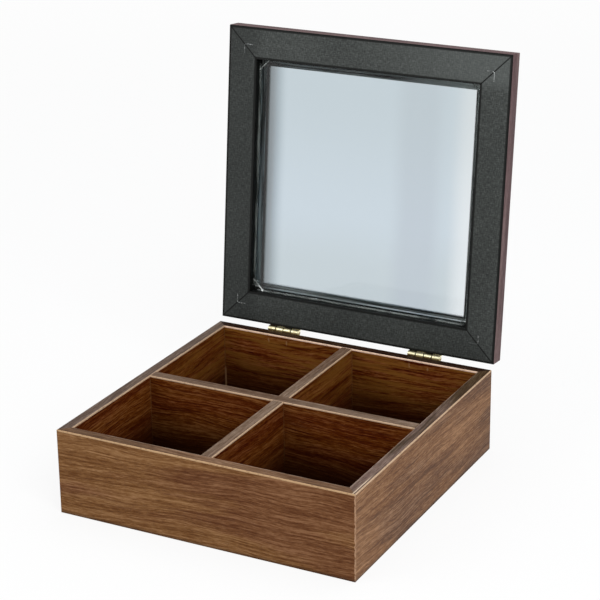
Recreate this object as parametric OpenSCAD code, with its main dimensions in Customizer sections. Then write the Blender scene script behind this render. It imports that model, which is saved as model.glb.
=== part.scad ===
// Tea bag organizer box: a square open box with four compartments and a hinged lid with a window.
// Millimetres. x runs to the right, y to the back, z up. The origin is the middle of the underside.
// The lid is drawn standing open against the stops of its hinges.

/* [Box] */
// Outside width of the box, left to right
box_w = 180; // [150:1:260]
// Outside depth of the box, front to back
box_d = 180; // [150:1:260]
// Height of the box without its lid
box_h = 50; // [40:1:90]
// Thickness of the four wall boards
wall_t = 6.5; // [6:0.5:10]
// Thickness of the edge band laid on walls and dividers
band_t = 1; // [0.6:0.1:1.5]
// Bevel that the trimming cutter leaves on the band's arrises
band_bevel = 0.4; // [0.1:0.05:0.45]
// Thickness of the base panel let into the walls
base_t = 3; // [2:0.5:5]

/* [Dividers] */
// Thickness of the two divider boards
divider_t = 7; // [4:0.5:10]
// Play on each side of the boards in their crossing notches
lap_play = 0.1; // [0.05:0.05:0.3]

/* [Lid] */
// Thickness of the lid's rails
lid_t = 12; // [11:0.5:16]
// Width of the flat underside of a rail, from its outer edge to the rebate
rail_face = 18.7; // [15:0.1:24]
// Width of the ledge that the pane rests on
ledge_w = 4.4; // [3:0.1:8]
// Depth of the rebate, from the underside of the lid to the ledge
rebate_depth = 7.3; // [6:0.1:8]
// Thickness of a rail at the window, where its upper face has sloped down
sight_t = 9.9; // [9.5:0.1:10.8]
// Flat run of a rail's upper face between its rounded arris and the slope
top_flat = 3; // [1:0.5:6]
// Radius of the upper outer arris of a rail
rail_round = 2; // [1:0.5:3]
// Radius of the lower outer arris of a rail
rail_ease = 0.5; // [0.2:0.1:1]
// Bevel of the window's upper arris
sight_bevel = 0.8; // [0.4:0.1:1.2]
// Thickness of the clear pane
pane_t = 2; // [1.5:0.1:3]
// Play of the pane in the rebate, on each side
pane_play = 0.4; // [0.2:0.1:1]
// Length cut off each corner of the pane, along its edge
pane_clip = 6; // [3:0.5:10]
// Leg of the bead of clear glue along the pane
bead_leg = 1.2; // [0.8:0.1:2]
// Gap between the closed lid and the box
lid_gap = 0.4; // [0.3:0.1:1]
// How far each side of the lid stands inside the box
lid_side_inset = 0; // [0:0.1:1]
// How far the back of the closed lid stands inside the box
lid_back_inset = 0.1; // [0:0.1:2]
// Angle from closed to the stop of the hinges
open_angle = 95.8; // [91:0.1:110]

/* [Hinges] */
// Distance from the middle of the box to the middle of a hinge
hinge_x = 46.6; // [30:0.1:55]
// Length of a hinge
hinge_len = 20.5; // [18:0.5:24]
// Thickness of a leaf
leaf_t = 0.8; // [0.6:0.1:1]
// Height of the flat plate of a leaf
leaf_h = 6.4; // [6:0.1:6.6]
// Outside radius of the knuckles
barrel_r = 1.7; // [1.6:0.1:2]
// Radius of the hinge pin
pin_r = 0.7; // [0.6:0.05:0.8]
// Free space between neighbouring knuckles
knuckle_gap = 0.2; // [0.15:0.05:0.3]
// Running clearance of the lid's knuckles round the pin
pin_play = 0.05; // [0.02:0.01:0.1]

/* [Fasteners] */
// Distance between the two screws of a leaf
screw_pitch = 12; // [10:0.5:14]
// Radius of a screw's countersunk head
head_r = 1.6; // [1.3:0.1:1.8]
// Radius of a screw's shank
shank_r = 0.8; // [0.6:0.1:1]
// Length of a screw
screw_len = 5.5; // [4:0.5:6]
// Distance of a corner nail from both outer edges of the lid
nail_in = 10.5; // [8:0.1:11]
// Length of each arm of a corner nail
nail_arm = 5.5; // [3:0.5:6]
// Thickness of a corner nail's steel
nail_t = 0.5; // [0.3:0.1:0.8]
// Depth of a corner nail in the rails
nail_depth = 7; // [5:0.5:8]

/* [Hidden] */
$fn = 64;
// Height of a wall board under its band
board_h = box_h - band_t;
// Inside width and depth of the box
inner_w = box_w - 2 * wall_t;
inner_d = box_d - 2 * wall_t;
// Wall left outside the rebate for the base panel, and the panel's play in it
rebate_land = wall_t / 2;
base_play = 0.15;
// Height at which the two dividers cross-lap
lap_z = base_t + (board_h - base_t) / 2;
// Half width of a crossing notch
notch_half = divider_t / 2 + lap_play;

// Outside size of the lid, its middle and its underside when closed
lid_w = box_w - 2 * lid_side_inset;
lid_d = box_d - lid_back_inset;
lid_mid_y = -lid_back_inset / 2;
lid_z = box_h + lid_gap;
rail_w = rail_face + ledge_w;
// Size of the opening that the rebate leaves, of the pane, and the pane's underside over the lid's
rebate_w = lid_w - 2 * rail_face;
rebate_d = lid_d - 2 * rail_face;
pane_w = rebate_w - 2 * pane_play;
pane_d = rebate_d - 2 * pane_play;
pane_z = rebate_depth - pane_t;

// The pin stands clear of the back wall and half way up the gap under the closed lid
knuckle_clear = 0.3;
pin_stand = barrel_r + knuckle_clear;
pin_y = box_d / 2 + pin_stand;
pin_z = box_h + lid_gap / 2;
// Distance in front of the pin of the closed lid's back edge
lid_edge = pin_stand + lid_back_inset;
knuckle_len = (hinge_len - 3 * knuckle_gap) / 4;
knuckle_pitch = knuckle_len + knuckle_gap;
// Straight run of the lid leaf beside the knuckle, before its 45 degree crank
crank_start = 1.1;
crank_step = lid_edge - barrel_r;
// Lower edge of the lid plate over the pin, upper edge of the box plate under it
lid_plate_low = crank_start + crank_step;
box_plate_top = -(barrel_r + knuckle_clear);
// Outer line of the crank, moved so that the leaf keeps its thickness round the bend
crank_shift = leaf_t * tan(22.5);
// Free space between the stop tail and the box leaf with the lid open, and the tail's reach
stop_gap = 0.15;
stop_reach = 3.6;
// Depth of a screw's head, and length of its point
head_h = leaf_t - 0.1;
point_h = 1.4;
// Pin end: how far it stands out of the knuckles, and its bevel
pin_out = 0.25;
pin_bevel = 0.2;
// Overlap that joins the shapes of one solid
weld = 0.2;

// Order of the knuckles from the left: the lid has the first and third, the box the others
lid_knuckles = [0, 2];
box_knuckles = [1, 3];
left = -1;
right = 1;

band_colour = [0.40, 0.32, 0.25];
board_colour = [0.36, 0.22, 0.13];
frame_colour = [0.16, 0.16, 0.15];
brass_colour = [0.72, 0.60, 0.30];
steel_colour = [0.65, 0.66, 0.68];
clear_colour = [0.80, 0.88, 0.92, 0.4];

// Plan of one side of a mitred frame: outer edge on the x axis, inside towards +y
module mitred_plan(length, width) {
    polygon([
        [-length / 2, 0],
        [length / 2, 0],
        [length / 2 - width, width],
        [-length / 2 + width, width]
    ]);
}

// Runs a section drawn in y and z along the x axis
module run_along_x(length) {
    rotate([90, 0, 90])
        linear_extrude(length, center = true)
            children();
}

// Places on a side of a w by d frame what is drawn with its outer edge on the x axis
module at_front(w, d) {
    translate([0, -d / 2, 0])
        children();
}

module at_back(w, d) {
    translate([0, d / 2, 0])
        rotate([0, 0, 180])
            children();
}

module at_left(w, d) {
    translate([-w / 2, 0, 0])
        rotate([0, 0, -90])
            children();
}

module at_right(w, d) {
    translate([w / 2, 0, 0])
        rotate([0, 0, 90])
            children();
}

// A wall board with mitred ends and the rebate for the base panel
module wall_board(length) {
    difference() {
        linear_extrude(board_h)
            mitred_plan(length, wall_t);
        translate([-length / 2, rebate_land, -1])
            cube([length, wall_t, base_t + 1]);
    }
}

// Section of an edge band with both upper arrises bevelled
module band_section(width) {
    polygon([
        [0, 0],
        [width, 0],
        [width, band_t - band_bevel],
        [width - band_bevel, band_t],
        [band_bevel, band_t],
        [0, band_t - band_bevel]
    ]);
}

// The band of one wall, mitred like the wall
module wall_band(length) {
    translate([0, 0, board_h])
        intersection() {
            run_along_x(length)
                band_section(wall_t);
            linear_extrude(band_t)
                mitred_plan(length, wall_t);
        }
}

// A straight length of band for a divider, centred on the x axis
module divider_band(length) {
    translate([0, -divider_t / 2, board_h])
        run_along_x(length)
            band_section(divider_t);
}

module front_wall() {
    color(board_colour)
        at_front(box_w, box_d)
            wall_board(box_w);
}

module back_wall() {
    color(board_colour)
        difference() {
            at_back(box_w, box_d)
                wall_board(box_w);
            box_screws(left);
            box_screws(right);
        }
}

module left_wall() {
    color(board_colour)
        at_left(box_w, box_d)
            wall_board(box_d);
}

module right_wall() {
    color(board_colour)
        at_right(box_w, box_d)
            wall_board(box_d);
}

module front_band() {
    color(band_colour)
        at_front(box_w, box_d)
            wall_band(box_w);
}

module back_band() {
    color(band_colour)
        at_back(box_w, box_d)
            wall_band(box_w);
}

module left_band() {
    color(band_colour)
        at_left(box_w, box_d)
            wall_band(box_d);
}

module right_band() {
    color(band_colour)
        at_right(box_w, box_d)
            wall_band(box_d);
}

// The base panel lies in the walls' rebate, flush with their undersides
module base_panel() {
    color(board_colour)
        translate([0, 0, base_t / 2])
            cube([
                box_w - 2 * rebate_land - 2 * base_play,
                box_d - 2 * rebate_land - 2 * base_play,
                base_t
            ], center = true);
}

// The left to right divider, notched from below where the other one crosses it
module long_divider() {
    color(board_colour)
        difference() {
            translate([-inner_w / 2, -divider_t / 2, base_t])
                cube([inner_w, divider_t, board_h - base_t]);
            translate([-notch_half, -divider_t, base_t - 1])
                cube([2 * notch_half, 2 * divider_t, lap_z - base_t + 1]);
        }
}

module long_divider_band() {
    color(band_colour)
        divider_band(inner_w);
}

// The front to back divider, notched from above so that the other one drops over it
module cross_divider() {
    color(board_colour)
        difference() {
            translate([-divider_t / 2, -inner_d / 2, base_t])
                cube([divider_t, inner_d, board_h - base_t]);
            translate([-divider_t, -notch_half, lap_z])
                cube([2 * divider_t, 2 * notch_half, board_h]);
        }
}

// Its band is in two lengths that butt against the band running across
module cross_divider_band() {
    half_len = (inner_d - divider_t) / 2;
    color(band_colour)
        for (side = [-1, 1])
            translate([0, side * (divider_t + half_len) / 2, 0])
                rotate([0, 0, 90])
                    divider_band(half_len);
}

// Turns what belongs to the lid about the hinge pin from closed to open
module opened() {
    translate([0, pin_y, pin_z])
        rotate([-open_angle, 0, 0])
            translate([0, -pin_y, -pin_z])
                children();
}

// Places on the closed lid what is drawn about the middle of its underside
module on_closed_lid() {
    translate([0, lid_mid_y, lid_z])
        children();
}

// Section of a rail: face below, rebate open to the inside, rounded upper outer arris,
// and an upper face that slopes down to a thin sight edge round the window
module rail_section() {
    polygon([
        [rail_ease, 0],
        [rail_face, 0],
        [rail_face, rebate_depth],
        [rail_w, rebate_depth],
        [rail_w, sight_t - sight_bevel],
        [rail_w - sight_bevel, sight_t],
        [rail_round + top_flat, lid_t],
        [rail_round, lid_t],
        [0, lid_t - rail_round],
        [0, rail_ease]
    ]);
    translate([rail_round, lid_t - rail_round])
        circle(r = rail_round);
    translate([rail_ease, rail_ease])
        circle(r = rail_ease);
}

// A rail of the lid, mitred at both ends
module rail(length) {
    intersection() {
        run_along_x(length)
            rail_section();
        linear_extrude(lid_t)
            mitred_plan(length, rail_w + 1);
    }
}

// The V of one corner nail: its point towards the corner, an arm in each rail
module corner_nail() {
    translate([nail_in, nail_in, 0]) {
        cube([nail_arm, nail_t, nail_depth]);
        cube([nail_t, nail_arm, nail_depth]);
    }
}

module all_corner_nails() {
    for (sx = [0, 1])
        for (sy = [0, 1])
            mirror([sx, 0, 0])
                mirror([0, sy, 0])
                    translate([-lid_w / 2, -lid_d / 2, 0])
                        corner_nail();
}

// A rail set in the open lid, with the slots that the corner nails cut in it
module lid_rail() {
    color(frame_colour)
        opened()
            on_closed_lid()
                difference() {
                    children();
                    all_corner_nails();
                }
}

module lid_front_rail() {
    lid_rail()
        at_front(lid_w, lid_d)
            rail(lid_w);
}

module lid_back_rail() {
    color(frame_colour)
        difference() {
            lid_rail()
                at_back(lid_w, lid_d)
                    rail(lid_w);
            lid_screws(left);
            lid_screws(right);
        }
}

module lid_left_rail() {
    lid_rail()
        at_left(lid_w, lid_d)
            rail(lid_d);
}

module lid_right_rail() {
    lid_rail()
        at_right(lid_w, lid_d)
            rail(lid_d);
}

module v_nails() {
    color(steel_colour)
        opened()
            on_closed_lid()
                all_corner_nails();
}

// The pane lies on the ledge and has its corners cut off
module lid_pane() {
    half_w = pane_w / 2;
    half_d = pane_d / 2;
    color(clear_colour)
        opened()
            on_closed_lid()
                translate([0, 0, pane_z])
                    linear_extrude(pane_t)
                        polygon([
                            [-half_w + pane_clip, -half_d],
                            [half_w - pane_clip, -half_d],
                            [half_w, -half_d + pane_clip],
                            [half_w, half_d - pane_clip],
                            [half_w - pane_clip, half_d],
                            [-half_w + pane_clip, half_d],
                            [-half_w, half_d - pane_clip],
                            [-half_w, -half_d + pane_clip]
                        ]);
}

// One straight bead in the angle between the rebate's wall and the pane
module bead_run(length) {
    translate([0, 0, pane_z])
        run_along_x(length)
            polygon([
                [0, 0],
                [0, -bead_leg],
                [bead_leg, 0]
            ]);
}

module pane_bead() {
    long_run = rebate_w - 2 * (pane_clip + pane_play + bead_leg);
    short_run = rebate_d - 2 * (pane_clip + pane_play + bead_leg);
    color(clear_colour)
        opened()
            on_closed_lid() {
                at_front(rebate_w, rebate_d)
                    bead_run(long_run);
                at_back(rebate_w, rebate_d)
                    bead_run(long_run);
                at_left(rebate_w, rebate_d)
                    bead_run(short_run);
                at_right(rebate_w, rebate_d)
                    bead_run(short_run);
            }
}

// Hinge parts are drawn about the middle of the pin, for a closed lid
module at_hinge(side) {
    translate([side * hinge_x, pin_y, pin_z])
        children();
}

// What is drawn with z along it is laid along the pin, at one knuckle
module at_knuckle(place) {
    translate([-hinge_len / 2 + knuckle_len / 2 + place * knuckle_pitch, 0, 0])
        children();
}

module along_pin(radius, length) {
    rotate([0, 90, 0])
        cylinder(r = radius, h = length, center = true);
}

// A countersunk screw with its head's face at the origin, driven towards -y
module screw() {
    rotate([90, 0, 0])
        rotate_extrude()
            polygon([
                [0, 0],
                [head_r, 0],
                [shank_r, head_h],
                [shank_r, screw_len - point_h],
                [0, screw_len]
            ]);
}

// Cross recess in a screw's head
module screw_recess() {
    for (turn = [0, 90])
        rotate([0, turn, 0])
            cube([1.4 * head_r, 0.7, 0.3], center = true);
}

// The places of a leaf's two screws: y of the leaf's outer face and z of the plate's middle
module at_screws(face_y, plate_mid_z) {
    for (side = [-1, 1])
        translate([side * screw_pitch / 2, face_y, plate_mid_z])
            children();
}

module at_box_screws() {
    at_screws(-pin_stand + leaf_t, box_plate_top - leaf_h / 2)
        children();
}

module at_lid_screws() {
    at_screws(-lid_edge + leaf_t, lid_plate_low + leaf_h / 2)
        children();
}

module box_screws(side) {
    at_hinge(side)
        at_box_screws()
            screw();
}

module lid_screws(side) {
    opened()
        at_hinge(side)
            at_lid_screws()
                screw();
}

// Box leaf: a plate on the back wall, a strap and a knuckle for the second and fourth places
module hinge_box_leaf(side) {
    color(brass_colour)
        at_hinge(side)
            difference() {
                union() {
                    translate([-hinge_len / 2, -pin_stand, box_plate_top - leaf_h])
                        cube([hinge_len, leaf_t, leaf_h]);
                    for (place = box_knuckles)
                        at_knuckle(place) {
                            along_pin(barrel_r, knuckle_len);
                            run_along_x(knuckle_len)
                                polygon([
                                    [-pin_stand, box_plate_top - weld],
                                    [-pin_stand, -barrel_r / 2],
                                    [-barrel_r, 0],
                                    [-barrel_r + leaf_t, 0],
                                    [-pin_stand + leaf_t, box_plate_top - weld]
                                ]);
                        }
                }
                for (place = box_knuckles)
                    at_knuckle(place)
                        along_pin(pin_r, knuckle_len + 1);
                at_box_screws()
                    screw();
            }
}

// Lid leaf: cranked forward on to the lid's back edge beside each of its knuckles, with a stop
// tail under each. With the lid open the tails lie along the box leaf and end the lid's travel.
module hinge_lid_leaf(side) {
    color(brass_colour)
        opened()
            at_hinge(side)
                difference() {
                    union() {
                        translate([-hinge_len / 2, -lid_edge, lid_plate_low])
                            cube([hinge_len, leaf_t, leaf_h]);
                        for (place = lid_knuckles)
                            at_knuckle(place) {
                                run_along_x(knuckle_len)
                                    crank_section();
                                along_pin(barrel_r, knuckle_len);
                                rotate([open_angle, 0, 0])
                                    translate([
                                        -knuckle_len / 2,
                                        -pin_stand + leaf_t + stop_gap,
                                        -stop_reach
                                    ])
                                        cube([knuckle_len, leaf_t, stop_reach - pin_r]);
                            }
                    }
                    for (place = lid_knuckles)
                        at_knuckle(place)
                            along_pin(pin_r + pin_play, knuckle_len + 1);
                    at_lid_screws()
                        screw();
                }
}

// Section of the crank that joins the lid's knuckles to the plate
module crank_section() {
    inner = -barrel_r;
    outer = -barrel_r + leaf_t;
    polygon([
        [inner, 0],
        [inner, crank_start],
        [inner - crank_step, lid_plate_low],
        [inner - crank_step, lid_plate_low + 2 * crank_shift],
        [outer - crank_step, lid_plate_low + 2 * crank_shift],
        [outer - crank_step, lid_plate_low + crank_shift],
        [outer, crank_start + crank_shift],
        [outer, 0]
    ]);
}

// The pin, held by the box leaf's knuckles and bevelled at both ends
module hinge_pin(side) {
    half = hinge_len / 2 + pin_out;
    color(brass_colour)
        at_hinge(side)
            rotate([0, 90, 0])
                rotate_extrude()
                    polygon([
                        [0, -half],
                        [pin_r - pin_bevel, -half],
                        [pin_r, -half + pin_bevel],
                        [pin_r, half - pin_bevel],
                        [pin_r - pin_bevel, half],
                        [0, half]
                    ]);
}

module left_hinge_box_leaf() {
    hinge_box_leaf(left);
}

module right_hinge_box_leaf() {
    hinge_box_leaf(right);
}

module left_hinge_lid_leaf() {
    hinge_lid_leaf(left);
}

module right_hinge_lid_leaf() {
    hinge_lid_leaf(right);
}

module left_hinge_pin() {
    hinge_pin(left);
}

module right_hinge_pin() {
    hinge_pin(right);
}

// The two screws of a box leaf with their cross recesses
module driven_box_screws(side) {
    color(brass_colour)
        difference() {
            box_screws(side);
            at_hinge(side)
                at_box_screws()
                    screw_recess();
        }
}

// The two screws of a lid leaf with their cross recesses
module driven_lid_screws(side) {
    color(brass_colour)
        difference() {
            lid_screws(side);
            opened()
                at_hinge(side)
                    at_lid_screws()
                        screw_recess();
        }
}

module left_box_screws() {
    driven_box_screws(left);
}

module right_box_screws() {
    driven_box_screws(right);
}

module left_lid_screws() {
    driven_lid_screws(left);
}

module right_lid_screws() {
    driven_lid_screws(right);
}

front_wall();
back_wall();
left_wall();
right_wall();
front_band();
back_band();
left_band();
right_band();
base_panel();
long_divider();
long_divider_band();
cross_divider();
cross_divider_band();
left_hinge_box_leaf();
right_hinge_box_leaf();
left_hinge_pin();
right_hinge_pin();
left_box_screws();
right_box_screws();
lid_front_rail();
lid_back_rail();
lid_left_rail();
lid_right_rail();
v_nails();
lid_pane();
pane_bead();
left_hinge_lid_leaf();
right_hinge_lid_leaf();
left_lid_screws();
right_lid_screws();
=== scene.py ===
import math
import random

import bmesh
import bpy
from mathutils import Matrix, Vector


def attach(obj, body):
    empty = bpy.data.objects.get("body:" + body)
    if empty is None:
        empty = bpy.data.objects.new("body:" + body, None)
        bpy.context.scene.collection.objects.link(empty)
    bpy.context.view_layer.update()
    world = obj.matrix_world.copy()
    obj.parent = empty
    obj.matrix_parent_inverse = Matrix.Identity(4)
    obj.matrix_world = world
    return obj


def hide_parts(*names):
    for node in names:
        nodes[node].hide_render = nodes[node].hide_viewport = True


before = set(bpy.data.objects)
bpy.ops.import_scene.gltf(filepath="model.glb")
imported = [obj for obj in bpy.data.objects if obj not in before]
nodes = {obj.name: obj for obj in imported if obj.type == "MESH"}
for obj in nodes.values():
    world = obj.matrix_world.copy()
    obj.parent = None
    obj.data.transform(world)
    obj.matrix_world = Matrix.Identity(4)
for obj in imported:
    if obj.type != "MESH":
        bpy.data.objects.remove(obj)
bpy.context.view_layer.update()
mm = 0.001


# Wall boards
# Four fibreboards covered with walnut foil, mitred at the corners and glued. A rebate along
# the lower inside edge takes the base panel. The foil ends at the corners, where a thin
# ragged line of pale board shows.

box_w = 180 * mm
box_d = 180 * mm
board_h = 49 * mm
wall_t = 6.5 * mm
base_t = 3 * mm
rebate_land = wall_t / 2
divider_t = 7 * mm
board_arris = 0.15 * mm
wide_sway = 14 * mm
fine_sway = 2 * mm
sides = ["front", "right", "back", "left"]


class Channel:
    """The output of a node, which can stand in sums as a number does."""

    def __init__(self, graph, socket):
        self.graph = graph
        self.socket = socket

    def joined(self, operation, first, second):
        return self.graph.node("ShaderNodeMath", {"operation": operation}, {0: first, 1: second})

    def __add__(self, other):
        return self.joined("ADD", self, other)

    def __radd__(self, other):
        return self.joined("ADD", other, self)

    def __sub__(self, other):
        return self.joined("SUBTRACT", self, other)

    def __rsub__(self, other):
        return self.joined("SUBTRACT", other, self)

    def __mul__(self, other):
        return self.joined("MULTIPLY", self, other)

    def __rmul__(self, other):
        return self.joined("MULTIPLY", other, self)

    def __abs__(self):
        return self.joined("ABSOLUTE", self, 0.0)

    def least(self, other):
        return self.joined("MINIMUM", self, other)

    def most(self, other):
        return self.joined("MAXIMUM", self, other)


class Graph:
    """A tree of nodes."""

    def __init__(self, tree):
        self.tree = tree

    def node(self, kind, settings=None, values=None, out=0):
        """Adds a node: its settings first, then the values or links of its sockets."""
        made = self.tree.nodes.new(kind)
        for key, value in (settings or {}).items():
            if key == "stops":
                set_stops(made.color_ramp, value)
            else:
                setattr(made, key, value)
        for key, value in (values or {}).items():
            several = value if isinstance(value, list) else [value]
            for one in several:
                if isinstance(one, Channel):
                    self.tree.links.new(one.socket, made.inputs[key])
                else:
                    made.inputs[key].default_value = one
        return Channel(self, made.outputs[out]) if len(made.outputs) else None

    def spot(self, x, y, z=0.0):
        return self.node("ShaderNodeCombineXYZ", None, {0: x, 1: y, 2: z})

    def split(self, place):
        """The x, y and z of a place."""
        made = self.node("ShaderNodeSeparateXYZ", None, {0: place}).socket.node
        return [Channel(self, output) for output in made.outputs]


def set_stops(ramp, stops):
    while len(ramp.elements) < len(stops):
        ramp.elements.new(1.0)
    for element, (place, colour) in zip(ramp.elements, stops):
        element.position = place
        element.color = colour


class Finish(Graph):
    """A material and the nodes that make its look."""

    def __init__(self, name):
        self.material = bpy.data.materials.new(name)
        self.material.use_nodes = True
        super().__init__(self.material.node_tree)
        self.tree.nodes.clear()

    def grain_map(self):
        """Distances along and across the grain, in metres, from the piece's own map."""
        along, across, _ = self.split(self.node("ShaderNodeUVMap", {"uv_map": "Grain"}))
        return along, across

    def in_object(self):
        """The x, y and z of a point of the object, in metres."""
        return self.split(self.node("ShaderNodeTexCoord", None, None, out=3))

    def noise(self, place, detail=3.0, roughness=0.5):
        return self.node(
            "ShaderNodeTexNoise",
            None,
            {"Vector": place, "Scale": 1.0, "Detail": detail, "Roughness": roughness},
        )

    def between(self, value, low, high):
        """0 below low and 1 above high with a soft step, or the other way round."""
        return self.node(
            "ShaderNodeMapRange",
            {"interpolation_type": "SMOOTHSTEP"},
            {"Value": value, "From Min": low, "From Max": high},
        )

    def ramp(self, value, stops):
        return self.node("ShaderNodeValToRGB", {"stops": stops}, {0: value})

    def mixed(self, share, first, second):
        return self.node("ShaderNodeMix", {"data_type": "RGBA"}, {0: share, 6: first, 7: second}, out=2)

    def distance(self, place):
        """How far a place is from zero."""
        return self.node("ShaderNodeVectorMath", {"operation": "LENGTH"}, {0: place}, out=1)

    def bump(self, height, depth):
        return self.node("ShaderNodeBump", None, {"Height": height, "Distance": depth})

    def done(self, values):
        """Ends the nodes in one surface, and gives the material."""
        shader = self.node("ShaderNodeBsdfPrincipled", None, values)
        self.node("ShaderNodeOutputMaterial", None, {"Surface": shader})
        return self.material


def paint(red, green, blue):
    """A colour as it looks on a screen, 0 to 255, turned into a light value."""
    def light(value):
        share = value / 255
        return share / 12.92 if share < 0.04 else ((share + 0.055) / 1.055) ** 2.4
    return (light(red), light(green), light(blue), 1.0)


def shade(colour, step):
    """A screen colour made lighter or darker by a step, which keeps its hue."""
    return paint(*[min(max(value + step, 0), 255) for value in colour])


def walnut(name, golden, ruddy, spread, slant=0.0, lean=0.0, shine=0.12, marks=()):
    """Printed and embossed walnut foil: golden and ruddy zones, fine broken streaks, long growth
    lines and short open pores. The spread is how much lighter and darker the streaks are, the
    slant how far the figure sinks along the board, the lean how much ruddier it grows. Each mark
    is a function that adds to the colour; the marks give wear, dirt, painted light and painted shade."""
    foil = Finish(name)
    along, across = foil.grain_map()
    sway = foil.noise(foil.spot(along * 8, across * 18), detail=2.0)
    ripple = foil.noise(foil.spot(along * 35, across * 60, 6.0), detail=2.0)
    bent = across + (sway - 0.5) * wide_sway + (ripple - 0.5) * fine_sway + along * slant
    zones = foil.noise(foil.spot(along * 8, bent * 60, 2.0), detail=3.0) + along * lean
    broad = foil.noise(foil.spot(along * 8, bent * 240), detail=3.0, roughness=0.6)
    fine = foil.noise(foil.spot(along * 28, bent * 900), detail=4.0, roughness=0.7)
    mottle = foil.noise(foil.spot(along * 180, bent * 1500, 7.0), detail=3.0, roughness=0.7)
    growth = foil.noise(foil.spot(along * 6, bent * 300, 11.0), detail=1.0)
    pores = foil.noise(foil.spot(along * 240, bent * 2000, 3.0), detail=3.0, roughness=0.6)
    tone = broad * 0.2 + fine * 0.45 + mottle * 0.35
    steps = ((0.42, -spread), (0.5, 0), (0.58, spread))
    streaked = [
        foil.ramp(tone, [(place, shade(zone, step)) for place, step in steps])
        for zone in (golden, ruddy)
    ]
    colour = foil.mixed(foil.between(zones, 0.42, 0.58), *streaked)
    line_mask = foil.between(abs(growth - 0.5), 0.02, 0.004) * foil.between(zones, 0.35, 0.5)
    pore_mask = foil.between(pores, 0.54, 0.62) * foil.between(broad, 0.7, 0.45)
    colour = foil.mixed(line_mask * 0.55 + pore_mask * 0.35, colour, shade(ruddy, -spread))
    for mark in marks:
        colour = mark(foil, colour)
    return foil.done({
        "Base Color": colour,
        "Roughness": 0.42 + fine * 0.16,
        "Specular IOR Level": shine,
        "Normal": foil.bump(fine * 0.5 - pore_mask, 0.04 * mm),
    })


def chipped_ends(foil_ends, width, end_colour):
    """Marks where the foil ends, given as distances along the board, and the board under it
    shows for about the width."""
    def mark(foil, colour):
        along, across = foil.grain_map()
        ragged = foil.noise(foil.spot(along * 300, across * 500, 5.0), detail=3.0)
        for foil_end in foil_ends:
            reach = abs(along - foil_end) - (ragged - 0.5) * 0.9 * mm
            chipped = foil.between(reach, width, width * 0.4) * foil.between(ragged, 0.36, 0.5)
            colour = foil.mixed(chipped * 0.8, colour, end_colour)
        return colour
    return mark


def foot_shade(foil, colour):
    """Painted contact shade: darker along the lower outer arris of a wall."""
    height = foil.in_object()[2]
    return foil.mixed(foil.between(height, 2.4 * mm, 0.4 * mm) * 0.55, colour, shade_brown)


def lifted_by_screws(foil, colour):
    """Marks on the inside of the back wall where the points of the hinge screws lift the foil."""
    x, y, height = foil.in_object()
    reach = foil.distance(foil.spot(abs(abs(x) - hinge_x) - tip_apart, (height - tip_z) * 0.5))
    ragged = foil.noise(foil.spot(x * 1100, height * 600), detail=2.0)
    behind = foil.between(y, inner_half - 0.6 * mm, inner_half - 0.4 * mm)
    lifted = foil.between(reach + (ragged - 0.5) * 2 * mm, 0.8 * mm, 0.3 * mm) * behind
    return foil.mixed(lifted * 0.45, colour, bare_patch)


def scraped_corner(foil, colour):
    """A pale scrape low in the back left corner."""
    x, y, height = foil.in_object()
    reach = foil.distance(foil.spot(x + inner_half, y - inner_half))
    scraped = foil.between(reach, 1.0 * mm, 0.5 * mm) * foil.between(height, 24 * mm, 21 * mm)
    return foil.mixed(scraped * 0.45, colour, bare_patch)


def lit_at_back(foil, colour):
    """Painted light: olive streaks, more of them towards the back and higher up, where the light falls
    into the compartments.
    """
    along, across = foil.grain_map()
    _, y, height = foil.in_object()
    streaks = foil.noise(foil.spot(along * 25, across * 320, 9.0), detail=4.0, roughness=0.65)
    faded = foil.between(streaks, 0.42, 0.6) * foil.between(height, 8 * mm, 34 * mm)
    return foil.mixed(faded * foil.between(y, -20 * mm, 80 * mm) * 0.7, colour, paint(122, 80, 30))


def deep_shade(foil, colour):
    """Painted shade that deepens towards the foot of the compartments."""
    height = foil.in_object()[2]
    return foil.mixed(foil.between(height, 40 * mm, 4 * mm) * 0.95, colour, shade_brown)


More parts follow.
